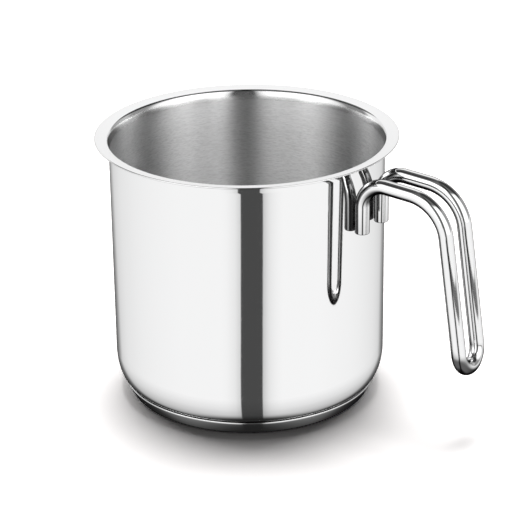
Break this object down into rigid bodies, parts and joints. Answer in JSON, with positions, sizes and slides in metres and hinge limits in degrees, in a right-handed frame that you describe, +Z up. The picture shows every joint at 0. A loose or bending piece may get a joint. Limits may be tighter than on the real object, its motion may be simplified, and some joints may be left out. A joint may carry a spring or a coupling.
{
  "type": "milk pan",
  "caption": "Tall straight-sided steel milk pan with a flared pouring lip, a capsule base and a welded bent-rod handle.",
  "frame": {"origin": "on the pan's axis, in the flat face of the base that rests on the table", "axes": "+Z up along the pan's axis, +X along the handle, +Y across it"},
  "size_m": [0.2128, 0.1558, 0.14],
  "materials": {
    "shell_steel": "mirror polished outside, satin brushed inside",
    "cap_steel": "polished side, finely turned contact face",
    "core_aluminium": "pressed blank",
    "rod_steel": "mirror polished",
    "weld_metal": "as welded"
  },
  "bodies": {
    "root": {"pan_shell": "shell_steel", "base_cap": "cap_steel", "base_core": "core_aluminium", "handle_rod": "rod_steel", "weld_nugget_left_lower": "weld_metal", "weld_nugget_left_upper": "weld_metal", "weld_nugget_right_lower": "weld_metal", "weld_nugget_right_upper": "weld_metal"}
  },
  "joints": []
}
